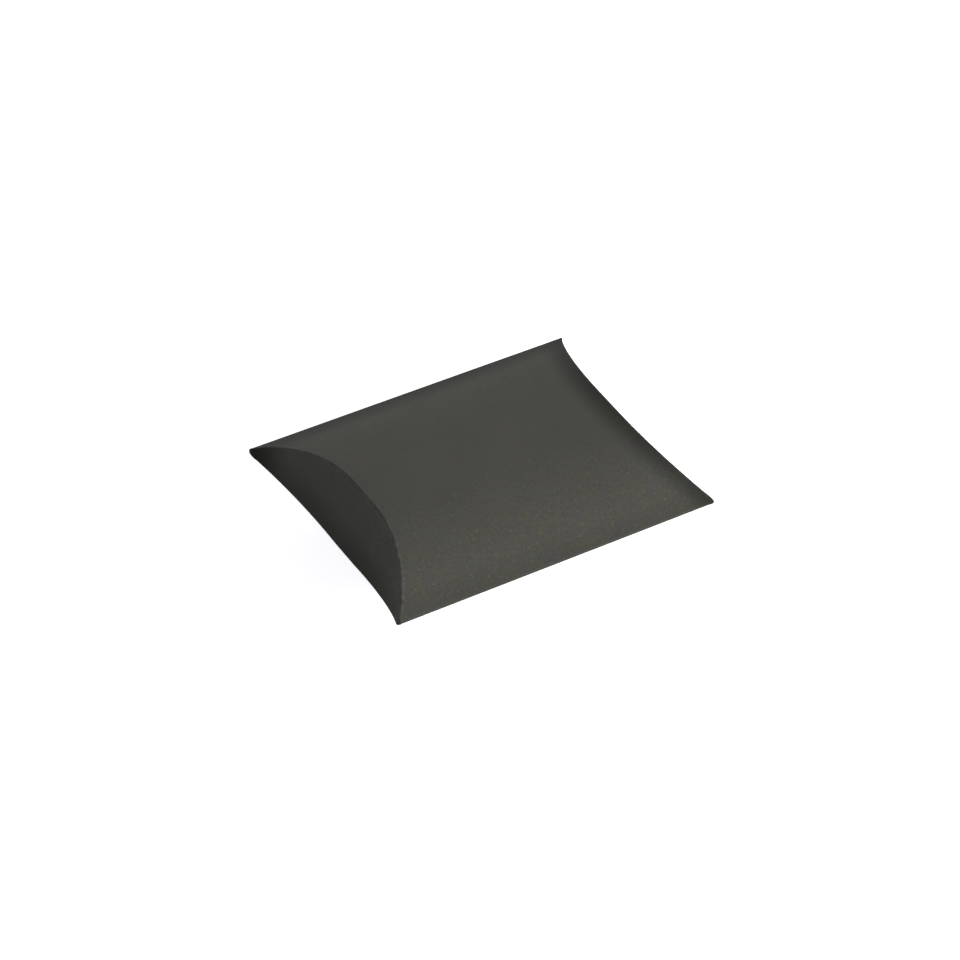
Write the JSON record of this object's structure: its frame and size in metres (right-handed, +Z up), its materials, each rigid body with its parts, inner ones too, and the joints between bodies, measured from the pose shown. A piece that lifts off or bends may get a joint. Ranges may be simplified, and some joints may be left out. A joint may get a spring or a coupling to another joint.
{
  "type": "pillow box",
  "caption": "Folded card pillow box with bowed top and bottom panels, a glued side seam and curved end flaps that swing open at each end.",
  "frame": {"origin": "on the surface that the box rests on, under the middle of the box", "axes": "+X along the straight side folds, +Y across them towards the glued seam, +Z up through the bowed panels"},
  "size_m": [0.1138, 0.08, 0.024],
  "materials": {
    "card": "matt, uncoated card dyed dark warm grey, with fine pale fibres",
    "glue": "dried cream-coloured adhesive, satin"
  },
  "bodies": {
    "shell": {"top_panel": "card", "bottom_panel": "card", "near_fold": "card", "seam_fold": "card", "glue_tab": "card", "glue_line": "glue"},
    "outer_left": {"outer_flap_left": "card"},
    "outer_right": {"outer_flap_right": "card"},
    "inner_left": {"inner_flap_left": "card"},
    "inner_right": {"inner_flap_right": "card"}
  },
  "joints": [
    {"name": "outer_left_crease", "type": "hinge", "parent": "shell", "child": "outer_left", "pos_m": [-0.04463, 0, 0.024], "axis": [0, 1, 0], "range_deg": [0, 75]},
    {"name": "outer_right_crease", "type": "hinge", "parent": "shell", "child": "outer_right", "pos_m": [0.04463, 0, 0.024], "axis": [0, -1, 0], "range_deg": [0, 75]},
    {"name": "inner_left_crease", "type": "hinge", "parent": "shell", "child": "inner_left", "pos_m": [-0.04494, 0, 0], "axis": [0, -1, 0], "range_deg": [0, 45]},
    {"name": "inner_right_crease", "type": "hinge", "parent": "shell", "child": "inner_right", "pos_m": [0.04494, 0, 0], "axis": [0, 1, 0], "range_deg": [0, 45]}
  ],
  "couplings": [
    {"joint": "inner_left_crease", "follows": "outer_left_crease", "ratio": 0.6},
    {"joint": "inner_right_crease", "follows": "outer_right_crease", "ratio": 0.6}
  ]
}
